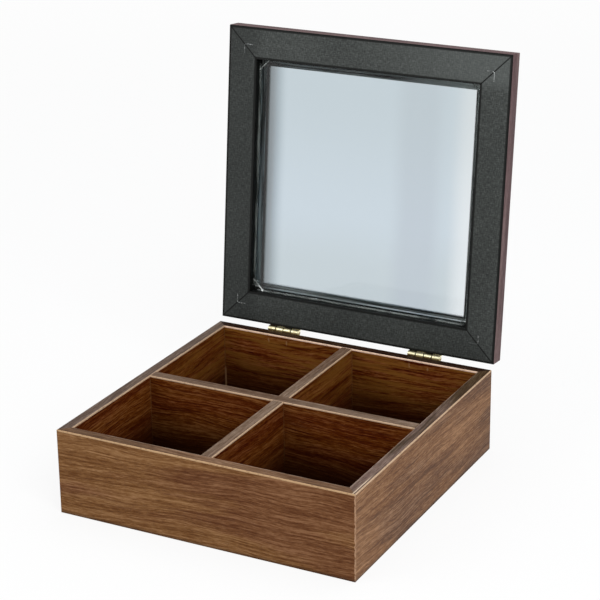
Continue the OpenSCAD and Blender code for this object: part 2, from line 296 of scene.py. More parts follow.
class Piece:
    """The faces of a piece while it is made. A face has its corners, their places on the grain
    map if its finish has a grain, and the number of its finish."""

    def __init__(self):
        self.faces = []

    def face(self, corners, grain=None, finish=0):
        self.faces.append((corners, grain or [(0, 0)] * len(corners), finish))

    def skin(self, rings):
        """A closed skin over rings that all have the same number of points."""
        for first, second in zip(rings, rings[1:]):
            for number in range(len(first)):
                following = (number + 1) % len(first)
                self.face([first[number], first[following], second[following], second[number]])
        self.face(rings[0][::-1])
        self.face(rings[-1])

    def run(self, section, length, place, mitre=0, finishes=None, shift=0.0):
        """A straight run of a section that is drawn as depth and height, anticlockwise. Its
        ends are square with mitre 0, and cut at 45 degrees with mitre 1. The shift moves it over
        the figure of the foil, so that no two pieces show the same."""
        def end(side, point):
            return Vector((side * (length / 2 - mitre * point[0]), point[0], point[1]))
        across = 0.0
        for edge, point in enumerate(section):
            following = section[(edge + 1) % len(section)]
            further = across + math.dist(point, following)
            flat = [end(-1, point), end(-1, following), end(1, following), end(1, point)]
            grain = [
                (flat[0].x, across + shift),
                (flat[1].x, further + shift),
                (flat[2].x, further + shift),
                (flat[3].x, across + shift),
            ]
            self.face([place(corner) for corner in flat], grain, finishes[edge] if finishes else 0)
            across = further
        for side, order in ((-1, section[::-1]), (1, section)):
            flat = [end(side, point) for point in order]
            grain = [(corner.y, corner.z + shift) for corner in flat]
            self.face([place(corner) for corner in flat], grain)

    def made(self, name, finishes, arris=0.0, smooth_to=30):
        """The finished object, with its arrises slightly rounded."""
        shape = bmesh.new()
        grain_layer = shape.loops.layers.uv.new("Grain")
        for corners, grain, finish in self.faces:
            face = shape.faces.new([shape.verts.new(corner) for corner in corners])
            face.material_index = finish
            for loop, place in zip(face.loops, grain):
                loop[grain_layer].uv = place
        bmesh.ops.remove_doubles(shape, verts=shape.verts, dist=0.001 * mm)
        mesh = mesh_of(shape, name, smooth_to)
        for finish in finishes:
            mesh.materials.append(finish)
        piece = put_in_scene(name, mesh)
        if arris:
            ease(piece, arris)
        return piece


def mesh_of(shape, name, smooth_to):
    """A mesh that is smooth where its faces meet at less than some degrees."""
    for face in shape.faces:
        face.smooth = True
    mesh = bpy.data.meshes.new(name)
    shape.to_mesh(mesh)
    shape.free()
    mesh.set_sharp_from_angle(angle=math.radians(smooth_to))
    return mesh


def put_in_scene(name, data):
    """A new object that holds a mesh, a lamp or a camera."""
    made = bpy.data.objects.new(name, data)
    bpy.context.collection.objects.link(made)
    return made


def ease(piece, arris, sharper_than=35):
    """Rounds the arrises that turn by more than some degrees."""
    rounding = piece.modifiers.new("Arris", "BEVEL")
    rounding.width = arris
    rounding.segments = 2
    rounding.limit_method = "ANGLE"
    rounding.angle_limit = math.radians(sharper_than)


def side_of(width, depth, quarter):
    """Puts what is drawn along x, inwards and up on one side of a rectangle: quarter 0 is the
    front, and 1, 2 and 3 are the right, the back and the left."""
    def place(point):
        along, inward, height = point
        return [
            Vector((along, inward - depth / 2, height)),
            Vector((width / 2 - inward, along, height)),
            Vector((-along, depth / 2 - inward, height)),
            Vector((inward - width / 2, -along, height)),
        ][quarter]
    return place


def hand_over(piece, body, slot, *replaced):
    """Makes a finished piece ride on its body in place of the construction's own nodes."""
    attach(piece, body)
    if replaced:
        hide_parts(*replaced)


inner_half = box_w / 2 - wall_t
# A dark brown for painted shade along the foot of the walls and deep in the compartments.
shade_brown = paint(25, 6, 0)
pale_board = paint(172, 136, 106)
bare_patch = paint(150, 116, 84)
hinge_x = 46.6 * mm
tip_apart = 6 * mm
tip_z = 46 * mm
outside_foil = {
    "front": walnut("front wall foil", (114, 77, 41), (100, 62, 33), 26, slant=0.035, lean=1.2,
                    marks=[chipped_ends([box_w / 2], 0.6 * mm, pale_board), foot_shade]),
    "right": walnut("right wall foil", (122, 83, 49), (105, 71, 44), 34, slant=-0.02, lean=1.2,
                    marks=[chipped_ends([-box_d / 2], 1.3 * mm, pale_board), foot_shade]),
    "back": walnut("back wall foil", (120, 84, 50), (100, 64, 40), 29, slant=0.02, marks=[foot_shade]),
    "left": walnut("left wall foil", (119, 83, 49), (98, 62, 39), 29, slant=-0.02, marks=[foot_shade]),
}
inner_ends = [-inner_half, -divider_t / 2, divider_t / 2, inner_half]
# The inside foil is the same walnut painted darker and redder: painted shade of the compartments.
inside_foil_shaded = walnut("inside foil", (96, 48, 8), (88, 38, 5), 36, slant=0.02, shine=0.06,
                     marks=[lit_at_back, chipped_ends(inner_ends, 0.4 * mm, paint(108, 72, 42)),
                            deep_shade, lifted_by_screws, scraped_corner])
wall_section = [
    (0, 0),
    (rebate_land, 0),
    (rebate_land, base_t),
    (wall_t, base_t),
    (wall_t, board_h),
    (0, board_h),
]
wall_finishes = [0, 0, 1, 1, 0, 0]
for quarter, side in enumerate(sides):
    board = Piece()
    board.run(
        wall_section,
        box_w,
        side_of(box_w, box_d, quarter),
        mitre=1,
        finishes=wall_finishes,
        shift=0.2 * quarter,
    )
    wall = board.made(side + "_wall_foiled", [outside_foil[side], inside_foil_shaded], arris=board_arris)
    hand_over(wall, "box", "board", side + "_wall")


# Edge bands
# Strips of the same foil on a pale core, glued over the boards' upper edges and mitred at the
# corners. Both long arrises are bevelled, and there the core shows as a pale line.

band_t = 1 * mm
band_bevel = 0.4 * mm
band_arris = 0.08 * mm
inner_w = box_w - 2 * wall_t
inner_d = box_d - 2 * wall_t


def band_core(name, colour, worn):
    """The pale core at the cut sides of a band, with specks of glue and dirt."""
    core = Finish(name)
    along, across = core.grain_map()
    specks = core.noise(core.spot(along * 500, across * 900), detail=3.0)
    streaks = core.noise(core.spot(along * 60, across * 1500, 4.0), detail=2.0)
    tint = core.mixed(core.between(specks, 0.5, 0.7) * 0.7, colour, worn)
    return core.done({
        "Base Color": core.mixed(streaks * 0.4, tint, worn),
        "Roughness": 0.6 + specks * 0.15,
        "Specular IOR Level": 0.3,
        "Normal": core.bump(specks, 0.02 * mm),
    })


def rubbed_arrises(foil, colour):
    """Marks a side band: a painted shadow in the step beside its outer arris, a rubbed line along its
    inner one, and a split in the core by the front right corner."""
    x, y, _ = foil.in_object()
    inward = (box_w / 2 - abs(x)).least(box_d / 2 - abs(y))
    wander = foil.noise(foil.spot(x * 60, y * 60), detail=2.0)
    step_shadow = foil.between(inward, 1.1 * mm, 0.6 * mm) * foil.between(wander, 0.35, 0.55)
    rubbed = foil.between(inward, wall_t - 1.0 * mm, wall_t - 0.6 * mm)
    rubbed = rubbed * foil.between(wander, 0.4, 0.55)
    from_split = abs(box_w / 2 - x - 1.7 * mm + (wander - 0.5) * 2 * mm)
    split = foil.between(from_split, 0.35 * mm, 0.15 * mm)
    split = split * foil.between(x, 80 * mm, 82 * mm) * foil.between(y, -62 * mm, -76 * mm)
    # Painted shadow beside the outer arris.
    colour = foil.mixed(step_shadow * 0.5, colour, paint(50, 36, 26))
    colour = foil.mixed(rubbed * 0.35, colour, paint(176, 156, 142))
    return foil.mixed(split * 0.8, colour, paint(226, 204, 176))


band_foil = walnut("band foil", (114, 93, 76), (102, 79, 62), 28)
side_band_foil = {
    "front": walnut("front band foil", (112, 82, 58), (90, 63, 40), 28, marks=[rubbed_arrises]),
    "right": walnut("right band foil", (104, 83, 73), (72, 54, 35), 28, lean=2.2,
                    marks=[rubbed_arrises]),
    # The back band is darkened: painted shadow of the open lid.
    "back": walnut("back band foil", (48, 28, 10), (38, 18, 4), 20),
    "left": walnut("left band foil", (96, 78, 66), (84, 66, 56), 24, marks=[rubbed_arrises]),
}
pale_core = band_core("band core", paint(196, 166, 136), paint(140, 112, 86))
front_core = band_core("front band core", paint(182, 148, 110), paint(130, 100, 70))
back_core = band_core("back band core", paint(232, 200, 176), paint(176, 144, 120))


def band_section(width):
    return [
        (0, 0),
        (width, 0),
        (width, band_t - band_bevel),
        (width - band_bevel, band_t),
        (band_bevel, band_t),
        (0, band_t - band_bevel),
    ]


band_finishes = [1, 1, 1, 0, 1, 1]


def on_boards(place):
    """The same place, raised to the upper edges of the boards."""
    return lambda point: place(point) + Vector((0, 0, board_h))


for quarter, side in enumerate(sides):
    strip = Piece()
    strip.run(
        band_section(wall_t),
        box_w,
        on_boards(side_of(box_w, box_d, quarter)),
        mitre=1,
        finishes=band_finishes,
        shift=0.3 * quarter,
    )
    core = {"front": front_core, "back": back_core}.get(side, pale_core)
    band = strip.made(side + "_band_strip", [side_band_foil[side], core], arris=band_arris)
    hand_over(band, "box", "edge_band", side + "_band")


# Base panel
# A thin sheet of the same board, pushed up into the walls' rebate and pinned there. The foil
# side shows in the compartments.

base_play = 0.15 * mm
base_w = box_w - 2 * (rebate_land + base_play)
base_d = box_d - 2 * (rebate_land + base_play)


def bare_board(name):
    """The back of a foiled fibreboard: brown fibres in every direction."""
    fibre = Finish(name)
    x, y, z = fibre.in_object()
    long_way = fibre.noise(fibre.spot(x * 260, y * 1100, z * 300), detail=3.0)
    cross_way = fibre.noise(fibre.spot(x * 1100, y * 260, z * 300), detail=3.0)
    patches = fibre.noise(fibre.spot(x * 30, y * 30, 2.0), detail=2.0)
    tone = long_way * 0.4 + cross_way * 0.4 + patches * 0.2
    return fibre.done({
        "Base Color": fibre.ramp(tone, [(0.38, paint(112, 84, 58)), (0.62, paint(158, 126, 92))]),
        "Roughness": 0.75 + patches * 0.15,
        "Specular IOR Level": 0.25,
        "Normal": fibre.bump(tone, 0.05 * mm),
    })


base_under = bare_board("base panel back")
sheet = Piece()
sheet.run(
    [(0, 0), (base_d, 0), (base_d, base_t), (0, base_t)],
    base_w,
    lambda point: Vector((point.x, point.y - base_d / 2, point.z)),
    finishes=[1, 1, 0, 1],
    shift=0.6,
)
base = sheet.made("base_panel_sheet", [inside_foil_shaded, base_under], arris=board_arris)
hand_over(base, "box", "board", "base_panel")


# Dividers
# Two foiled boards halved over each other: the one from left to right is notched from below,
# the one from front to back from above. Each has its own edge band.

lap_z = base_t + (board_h - base_t) / 2
lap_play = 0.1 * mm
notch_half = divider_t / 2 + lap_play


def slab(outline, thick, place, shift):
    """A board or pane of an outline that is drawn as distance along and height, anticlockwise
    seen from the front."""
    board = Piece()
    near = -thick / 2
    far = thick / 2
    for depth, order in ((near, outline), (far, outline[::-1])):
        grain = [(along, height + depth + shift) for along, height in order]
        board.face([place(Vector((along, depth, height))) for along, height in order], grain)
    for number, start in enumerate(outline):
        following = outline[(number + 1) % len(outline)]
        corners = [
            Vector((start[0], near, start[1])),
            Vector((start[0], far, start[1])),
            Vector((following[0], far, following[1])),
            Vector((following[0], near, following[1])),
        ]
        grain = [(corner.x, corner.y + corner.z + shift) for corner in corners]
        board.face([place(corner) for corner in corners], grain)
    return board


def along_x(point):
    return Vector(point)


def along_y(point):
    return Vector((-point[1], point[0], point[2]))


long_outline = [
    (-inner_w / 2, base_t),
    (-notch_half, base_t),
    (-notch_half, lap_z),
    (notch_half, lap_z),
    (notch_half, base_t),
    (inner_w / 2, base_t),
    (inner_w / 2, board_h),
    (-inner_w / 2, board_h),
]
cross_outline = [
    (-inner_d / 2, base_t),
    (inner_d / 2, base_t),
    (inner_d / 2, board_h),
    (notch_half, board_h),
    (notch_half, lap_z),
    (-notch_half, lap_z),
    (-notch_half, board_h),
    (-inner_d / 2, board_h),
]
long_board = slab(long_outline, divider_t, along_x, 0.9).made("long_divider_board", [inside_foil_shaded])
cross_board = slab(cross_outline, divider_t, along_y, 1.3).made("cross_divider_board", [inside_foil_shaded])
hand_over(long_board, "box", "board", "long_divider")
hand_over(cross_board, "box", "board", "cross_divider")

long_strip = Piece()
long_strip.run(
    band_section(divider_t),
    inner_w,
    lambda point: Vector((point.x, point.y - divider_t / 2, point.z + board_h)),
    finishes=band_finishes,
    shift=1.7,
)
long_band = long_strip.made("long_divider_strip", [band_foil, pale_core], arris=band_arris)
hand_over(long_band, "box", "edge_band", "long_divider_band")

half_len = (inner_d - divider_t) / 2
cross_strip = Piece()
for way in (-1, 1):
    middle = way * (divider_t + half_len) / 2
    cross_strip.run(
        band_section(divider_t),
        half_len,
        lambda point, middle=middle: Vector(
            (divider_t / 2 - point.y, point.x + middle, point.z + board_h)
        ),
        finishes=band_finishes,
        shift=2.1 + way * 0.2,
    )
cross_band = cross_strip.made("cross_divider_strip", [band_foil, pale_core], arris=band_arris)
hand_over(cross_band, "box", "edge_band", "cross_divider_band")


# Lid rails
# Four mouldings mitred to a frame. Charcoal paper covers the underside, walnut foil the outside
# and the sloping upper face. A rebate takes the pane, and its ledge and sight edge are painted.

lid_w = 180 * mm
lid_d = 179.9 * mm
lid_mid_y = -0.05 * mm
lid_z = 50.4 * mm
lid_t = 12 * mm
rail_face = 18.7 * mm
rail_w = rail_face + 4.4 * mm
rebate_depth = 7.3 * mm
sight_t = 9.9 * mm
sight_bevel = 0.8 * mm
top_flat = 3 * mm
rail_round = 2 * mm
rail_ease = 0.5 * mm
rail_arris = 0.12 * mm
pin_y = 92 * mm
pin_z = 50.2 * mm
open_angle = math.radians(95.8)
pin = Matrix.Translation((0, pin_y, pin_z))
opening = pin @ Matrix.Rotation(-open_angle, 4, "X") @ pin.inverted()
on_lid = opening @ Matrix.Translation((0, lid_mid_y, lid_z))


def arc(centre, radius, start, end, steps):
    """Points on an arc, its angles in degrees."""
    turns = [math.radians(start + (end - start) * step / steps) for step in range(steps + 1)]
    return [
        (centre[0] + radius * math.cos(turn), centre[1] + radius * math.sin(turn))
        for turn in turns
    ]


def flat_on_lid(finish):
    """The x, y and z of a point on the closed lid, from the middle of its underside."""
    back = on_lid.inverted()
    place = finish.node(
        "ShaderNodeMapping",
        None,
        {
            "Vector": finish.node("ShaderNodeTexCoord", None, None, out=3),
            "Location": back.to_translation(),
            "Rotation": back.to_euler(),
        },
    )
    return finish.split(place)


def charcoal_paper():
    """Dark grey paper with a fine linen emboss, darker along its edges and its mitres, with painted
    shade along the left rail, and faded on the right of the open lid's head."""
    paper = Finish("charcoal paper")
    x, y, _ = flat_on_lid(paper)
    weft = paper.noise(paper.spot(x * 380, y * 1900), detail=3.0, roughness=0.6)
    warp = paper.noise(paper.spot(x * 1900, y * 380, 4.0), detail=3.0, roughness=0.6)
    clouds = paper.noise(paper.spot(x * 20, y * 20, 9.0), detail=3.0)
    tone = weft * 0.42 + warp * 0.42 + clouds * 0.16
    stops = [(0.38, paint(38, 40, 39)), (0.5, paint(57, 60, 58)), (0.62, paint(80, 83, 81))]
    colour = paper.ramp(tone, stops)
    from_side = lid_w / 2 - abs(x)
    from_end = lid_d / 2 - abs(y)
    nearest = from_side.least(from_end)
    rim = paper.between(nearest, 1.7 * mm, 1.1 * mm)
    lip = paper.between(nearest, rail_face - 1.7 * mm, rail_face - 1.0 * mm)
    mitre = paper.between(abs(from_side - from_end), 0.75 * mm, 0.35 * mm)
    # Painted shade darkens the left rail.
    left_rail_shade = paper.between(x + (clouds - 0.5) * 20 * mm, -62 * mm, -74 * mm)
    faded = paper.between(y + (clouds - 0.5) * 20 * mm, -66 * mm, -76 * mm)
    faded = faded * paper.between(x, -20 * mm, 80 * mm)
    colour = paper.mixed(left_rail_shade * 0.35, colour, paint(24, 26, 25))
    colour = paper.mixed(faded * 0.22, colour, paint(116, 121, 119))
    near_black = paint(10, 11, 9)
    colour = paper.mixed((rim + lip) * 0.9, colour, near_black)
    colour = paper.mixed(mitre * 0.85, colour, near_black)
    return paper.done({
        "Base Color": colour,
        "Roughness": 0.6 + tone * 0.2,
        "Specular IOR Level": 0.2,
        "Normal": paper.bump(tone - mitre, 0.06 * mm),
    })


def ledge_glue_and_highlight(coat, colour):
    """Marks the ledge: a painted highlight line with a painted shadow beside it along the foot of the
    open lid, and a clouded stretch of crept glue on the right of its head."""
    x, y, _ = flat_on_lid(coat)
    from_foot = lid_d / 2 - rail_face - y
    from_head = lid_d / 2 - rail_face + y
    line = coat.between(abs(from_foot - 2.0 * mm), 0.5 * mm, 0.3 * mm)
    line = line * (0.35 + coat.between(x, -10 * mm, 20 * mm) * 0.65)
    highlight_shadow = coat.between(from_foot, 1.7 * mm, 1.4 * mm)
    clouded = coat.between(from_head, 5 * mm, 4.5 * mm) * coat.between(x, 10 * mm, 45 * mm)
    # A painted shadow, then a painted highlight line, along the foot of the ledge.
    colour = coat.mixed(highlight_shadow * 0.9, colour, paint(14, 15, 14))
    colour = coat.mixed(line, colour, paint(248, 252, 250))
    return coat.mixed(clouded * 0.8, colour, paint(190, 198, 194))


def black_paint(name, deep, streak, low, high, marks=()):
    """Thin black paint over the machined rebate, with pale streaks where it is rubbed. Low and
    high are where the streaks start and end in the noise that makes them."""
    coat = Finish(name)
    along, across = coat.grain_map()
    streaks = coat.noise(coat.spot(along * 14, across * 900), detail=2.0, roughness=0.6)
    specks = coat.noise(coat.spot(along * 900, across * 900, 3.0), detail=2.0)
    colour = coat.mixed(coat.between(streaks, low, high), deep, streak)
    for mark in marks:
        colour = mark(coat, colour)
    return coat.done({
        "Base Color": colour,
        "Roughness": 0.45 + specks * 0.2,
        "Specular IOR Level": 0.15,
        "Normal": coat.bump(specks, 0.02 * mm),
    })


rail_paper = charcoal_paper()
rail_black = black_paint("black edge paint", paint(6, 7, 6), paint(26, 28, 26), 0.5, 0.7)
ledge_grey = black_paint(
    "ledge paint",
    paint(24, 27, 26),
    paint(150, 156, 152),
    0.42,
    0.62,
    marks=[ledge_glue_and_highlight],
)
lid_foil = walnut("lid foil", (101, 79, 78), (88, 65, 66), 22)
rail_section = [
    (rail_ease, 0),
    (rail_face, 0),
    (rail_face, rebate_depth),
    (rail_w, rebate_depth),
    (rail_w, sight_t - sight_bevel),
    (rail_w - sight_bevel, sight_t),
    (rail_round + top_flat, lid_t),
]
rail_section += arc((rail_round, lid_t - rail_round), rail_round, 90, 180, 8)
rail_section += arc((rail_ease, rail_ease), rail_ease, 180, 270, 3)[:-1]
eased_edges = 3
foil_edges = len(rail_section) - 5 - eased_edges
rail_finishes = [0, 1, 2, 1, 1] + [3] * foil_edges + [1] * eased_edges
for quarter, side in enumerate(sides):
    length = lid_w if side in ("front", "back") else lid_d
    moulding = Piece()
    place = side_of(lid_w, lid_d, quarter)
    moulding.run(
        rail_section,
        length,
        lambda point, place=place: on_lid @ place(point),
        mitre=1,
        finishes=rail_finishes,
        shift=0.3 * quarter,
    )
    rail = moulding.made(
        "lid_" + side + "_moulding",
        [rail_paper, rail_black, ledge_grey, lid_foil],
        arris=rail_arris,
    )
    hand_over(rail, "lid", "lid_frame", "lid_" + side + "_rail")


# Corner nails
# A thin steel V driven into the underside across each mitre, its point to the corner. Only the
# edge of the steel shows.

nail_in = 10.5 * mm
nail_arm = 5.5 * mm
nail_t = 0.5 * mm
nail_depth = 7 * mm
nail_proud = 0.04 * mm
nail_tightness = -0.2
nail_turn = math.radians(135)


class Recipe(Graph):
    """A tree of geometry nodes with named sizes, which is run once and leaves a plain mesh."""

    def __init__(self, name, sizes):
        tree = bpy.data.node_groups.new(name, "GeometryNodeTree")
        super().__init__(tree)
        tree.interface.new_socket("Geometry", in_out="OUTPUT", socket_type="NodeSocketGeometry")
        self.sizes = sizes
        self.sockets = {}
        for size in sizes:
            socket = tree.interface.new_socket(size, in_out="INPUT", socket_type="NodeSocketFloat")
            self.sockets[size] = socket.identifier
        self.start = self.node("NodeGroupInput").socket.node

    def size(self, name):
        return Channel(self, self.start.outputs[name])

    def joined_shapes(self, *shapes):
        return self.node("GeometryNodeJoinGeometry", None, {0: list(shapes)})

    def cast(self, name, shape, finish, matrix):
        """Runs the recipe, and makes a piece of its mesh at the place that the matrix gives."""
        real = self.node("GeometryNodeRealizeInstances", None, {"Geometry": shape})
        coated = self.node("GeometryNodeSetMaterial", None, {"Geometry": real, "Material": finish})
        self.node("NodeGroupOutput", None, {"Geometry": coated})
        carrier = put_in_scene(name + "_recipe", bpy.data.meshes.new(name + "_recipe"))
        maker = carrier.modifiers.new("Recipe", "NODES")
        maker.node_group = self.tree
        for size, value in self.sizes.items():
            maker[self.sockets[size]] = value
        carrier.update_tag()
        bpy.context.view_layer.update()
        evaluated = carrier.evaluated_get(bpy.context.evaluated_depsgraph_get())
        mesh = bpy.data.meshes.new_from_object(evaluated)
        carrier.modifiers.remove(maker)
        bpy.data.objects.remove(carrier)
        mesh.transform(matrix)
        mesh.name = name
        return put_in_scene(name, mesh)


def bright_steel():
    """Zinc-plated steel, dulled and lightly scratched."""
    steel = Finish("nail steel")
    x, y, z = steel.in_object()
    dull = steel.noise(steel.spot(x * 700, y * 700, z * 700), detail=3.0)
    worn = steel.between(dull, 0.38, 0.56)
    return steel.done({
        "Base Color": steel.mixed(worn, paint(158, 161, 160), paint(88, 91, 90)),
        "Metallic": 0.9,
        "Roughness": 0.3 + dull * 0.3,
    })


nailing = Recipe("corner nails", {
    "Across": lid_w - 2 * nail_in,
    "Down": lid_d - 2 * nail_in,
    "Arm": nail_arm,
    "Gauge": nail_t,
    "Depth": nail_depth,
})
corners = nailing.node(
    "GeometryNodeMeshGrid",
    None,
    {
        "Size X": nailing.size("Across"),
        "Size Y": nailing.size("Down"),
        "Vertices X": 2,
        "Vertices Y": 2,
    },
)
arm = nailing.size("Arm")
handle = arm * nail_tightness
strip_line = nailing.node(
    "GeometryNodeCurvePrimitiveBezierSegment",
    {"mode": "POSITION"},
    {
        "Resolution": 24,
        "Start": nailing.spot(arm, 0.0, 0.0),
        "Start Handle": nailing.spot(handle, 0.0, 0.0),
        "End Handle": nailing.spot(0.0, handle, 0.0),
        "End": nailing.spot(0.0, arm, 0.0),
    },
)
strip_edge = nailing.node(
    "GeometryNodeCurvePrimitiveQuadrilateral",
    {"mode": "RECTANGLE"},
    {"Width": nailing.size("Gauge"), "Height": nailing.size("Depth")},
)
strip_bar = nailing.node(
    "GeometryNodeCurveToMesh",
    None,
    {"Curve": strip_line, "Profile Curve": strip_edge, "Fill Caps": True},
)
corner_x, corner_y, _ = nailing.split(nailing.node("GeometryNodeInputPosition"))
towards_x = corner_x.joined("SIGN", corner_x, 0.0)
towards_y = corner_y.joined("SIGN", corner_y, 0.0)
facing = towards_y.joined("ARCTAN2", towards_y, towards_x)
nails_placed = nailing.node(
    "GeometryNodeInstanceOnPoints",
    None,
    {
        "Points": corners,
        "Instance": strip_bar,
        "Rotation": nailing.spot(0.0, 0.0, facing + nail_turn),
    },
)
into_rails = Matrix.Translation((0, 0, nail_depth / 2 - nail_proud))
v_nails = nailing.cast("corner_nail_strips", nails_placed, bright_steel(), on_lid @ into_rails)
hand_over(v_nails, "lid", "nail_steel", "v_nails")


# Pane
# Float glass laid on the ledge from below, its corners cut off and its arrises ground. It is
# clear with a cool tint, darker along its left edge beside the black rebate: painted shade of the
# frame.

pane_play = 0.4 * mm
pane_w = lid_w - 2 * (rail_face + pane_play)
pane_d = lid_d - 2 * (rail_face + pane_play)
pane_t = 2 * mm
pane_z = rebate_depth - pane_t
pane_clip = 6 * mm
pane_arris = 0.3 * mm


def float_glass():
    """Clear glass with a cool tint and painted reflection and shade: deep along the left edge of the
    open lid with painted shade of the frame and a dark line painted for the black sight edge seen
    through it, greyer towards its foot, darker towards its head, lighter along its right edge."""
    glass = Finish("window glass")
    x, y, _ = flat_on_lid(glass)
    drift = glass.noise(glass.spot(x * 12, y * 12), detail=2.0)
    sideways = x + (drift - 0.5) * 5 * mm
    upwards = (drift - 0.5) * 8 * mm - y
    clear = glass.between(sideways, 52 * mm, 66 * mm)
    reflection_veil = glass.between(abs(sideways - 34 * mm), 20 * mm, 6 * mm)
    foot = glass.between(upwards, -15 * mm, -52 * mm)
    head_shade = glass.between(upwards, -20 * mm, 60 * mm)
    # Painted reflection and shade: greyer towards the foot, lighter on the right, a darker bluish veil,
    # darker towards the head.
    tint = glass.mixed(foot * 0.5, paint(150, 176, 194), paint(130, 152, 156))
    tint = glass.mixed(clear, tint, paint(200, 213, 220))
    tint = glass.mixed(reflection_veil * 0.75, tint, paint(122, 144, 164))
    tint = glass.mixed(head_shade * 0.4, tint, paint(110, 138, 142))
    # Painted shade of the frame along the left edge, and a dark line painted for the black sight edge
    # seen through the glass.
    edge = glass.between(x + (drift - 0.5) * 3 * mm, -52 * mm, -66 * mm)
    edge = edge * glass.between(x, -67 * mm, -66 * mm)
    painted = glass.between(abs(x + 66 * mm), 0.9 * mm, 0.6 * mm)
    tint = glass.mixed(edge, tint, paint(98, 106, 110))
    return glass.done({
        "Base Color": glass.mixed(painted, tint, paint(16, 18, 17)),
        "Roughness": 0.02,
        "IOR": 1.5,
        "Specular IOR Level": 0.3,
        "Transmission Weight": 1.0,
        "Alpha": 0.5 + edge * 0.32 + painted * 0.16,
    })


pane_half = (pane_w / 2, pane_d / 2)
pane_outline = []
for sx, sy, order in ((-1, -1, 1), (1, -1, -1), (1, 1, 1), (-1, 1, -1)):
    clipped = [
        (sx * pane_half[0], sy * (pane_half[1] - pane_clip)),
        (sx * (pane_half[0] - pane_clip), sy * pane_half[1]),
    ]
    pane_outline += clipped[::order]
pane_middle = pane_z + pane_t / 2


def lying_on_ledge(point):
    return on_lid @ Vector((point.x, point.z, pane_middle - point.y))


glass_pane = slab(pane_outline, pane_t, lying_on_ledge, 0)
pane = glass_pane.made("glass_pane", [float_glass()], arris=pane_arris)
hand_over(pane, "lid", "pane", "lid_pane")


# Glue bead
# Clear glue run by hand along the angle between the rebate and the pane. It is thicker in
# places, and a drop stands in each cut corner.

bead_leg = 1.2 * mm
rebate_w = lid_w - 2 * rail_face
rebate_d = lid_d - 2 * rail_face
bead_steps = 48
swell_turns = (9, 23, 41)
corner_left = 3.2 * mm
drop_in = pane_play + pane_clip / 2
drop_half = 4.4 * mm
drop_width = 0.8 * mm
drop_rings = 6
drop_turns = 14


def clear_glue():
    """Set glue: glossy and clear, clouded in places, with a painted highlight line where it bulges and
    painted glints on the drops in the left cut corners. The highlight is brightest along the foot of
    the open lid, which the light reaches."""
    glue = Finish("clear glue")
    x, y, z = flat_on_lid(glue)
    clouds = glue.noise(glue.spot(x * 90, y * 90, z * 300), detail=3.0)
    thick = glue.between(clouds, 0.35, 0.65)
    from_wall = (rebate_w / 2 - abs(x)).least(rebate_d / 2 - abs(y))
    bulge = glue.between(abs(from_wall - 0.6 * mm), 0.4 * mm, 0.2 * mm)
    foot = glue.between(y, rebate_d / 2 - 4 * mm, rebate_d / 2 - 2 * mm)
    off_diagonal = rebate_w / 2 - abs(x) + rebate_d / 2 - abs(y) - drop_in * 2
    drop = glue.between(abs(off_diagonal), 0.7 * mm, 0.3 * mm)
    corner = drop * glue.between(x, 40 * mm, -40 * mm)
    lit = 0.04 + foot * 0.14
    # The bulge line is a painted highlight, and the corner term a painted glint.
    line = bulge * lit * glue.between(clouds, 0.3, 0.5) + corner * (0.3 + foot * 0.5)
    colour = glue.mixed(thick, paint(60, 66, 63), paint(120, 128, 124))
    return glue.done({
        "Base Color": glue.mixed(line, colour, paint(250, 254, 252)),
        "Roughness": 0.05 + clouds * 0.08,
        "Specular IOR Level": 0.15 + foot * 0.15,
        "Alpha": 0.16 + thick * 0.2 + line * 0.6,
        "Coat Weight": 0.05 + foot * 0.05 + drop * foot * 0.9,
        "Coat Roughness": 0.04,
        "Normal": glue.bump(clouds, 0.05 * mm),
    })


def bead_profile(leg):
    """Section of the bead, bulging between the rebate's wall and the pane."""
    corner = [(0, pane_z), (0, pane_z - leg)]
    bulge = [
        (leg * 0.45, pane_z - leg * 0.8),
        (leg * 0.8, pane_z - leg * 0.45),
    ]
    return corner + bulge + [(leg, pane_z)]


chance = random.Random(7)
glue = Piece()
for quarter in range(4):
    length = (rebate_w if quarter % 2 == 0 else rebate_d) - 2 * corner_left
    place = side_of(rebate_w, rebate_d, quarter)
    wobble = [chance.uniform(0, math.tau) for _ in swell_turns]
    rings = []
    for step in range(bead_steps + 1):
        share = step / bead_steps
        waves = [math.sin(share * turns + start) for turns, start in zip(swell_turns, wobble)]
        swell = sum(waves) / len(waves)
        leg = bead_leg * (0.82 + 0.18 * swell)
        along = (share - 0.5) * length
        rings.append([
            on_lid @ place(Vector((along, depth, height)))
            for depth, height in bead_profile(leg)
        ])
    glue.skin(rings)
for sx in (-1, 1):
    for sy in (-1, 1):
        middle = Vector((sx * (rebate_w / 2 - drop_in), sy * (rebate_d / 2 - drop_in), pane_z))
        lengthwise = Vector((sx, -sy, 0)).normalized() * drop_half
        sideways = Vector((sx, sy, 0)).normalized() * drop_width * sx * sy
        start = chance.uniform(0, math.tau)
        rings = []
        for ring in range(drop_rings):
            dip = math.radians(90 * ring / drop_rings)
            below = Vector((0, 0, drop_width * math.sin(dip)))
            ring_points = []
            for number in range(drop_turns):
                turn = math.tau * number / drop_turns
                girth = (0.86 + 0.14 * math.sin(3 * turn + start)) * math.cos(dip)
                flat = lengthwise * girth * math.cos(turn) + sideways * girth * math.sin(turn)
                ring_points.append(on_lid @ (middle + flat - below))
            rings.append(ring_points)
        glue.skin(rings[::-1])
bead = glue.made("glue_bead", [clear_glue()], smooth_to=70)
hand_over(bead, "lid", "clear_glue", "pane_bead")


# Hinges
# Small brass stop hinges pressed from strip. The leaf on the back wall carries two knuckles, the
# lid's leaf two more with stop tails, and a pin with bevelled ends runs through them.

hinge_len = 20.5 * mm
knuckle_gap = 0.2 * mm
knuckle_pitch = (hinge_len + knuckle_gap) / 4
barrel_r = 1.7 * mm
leaf_arris = 0.08 * mm


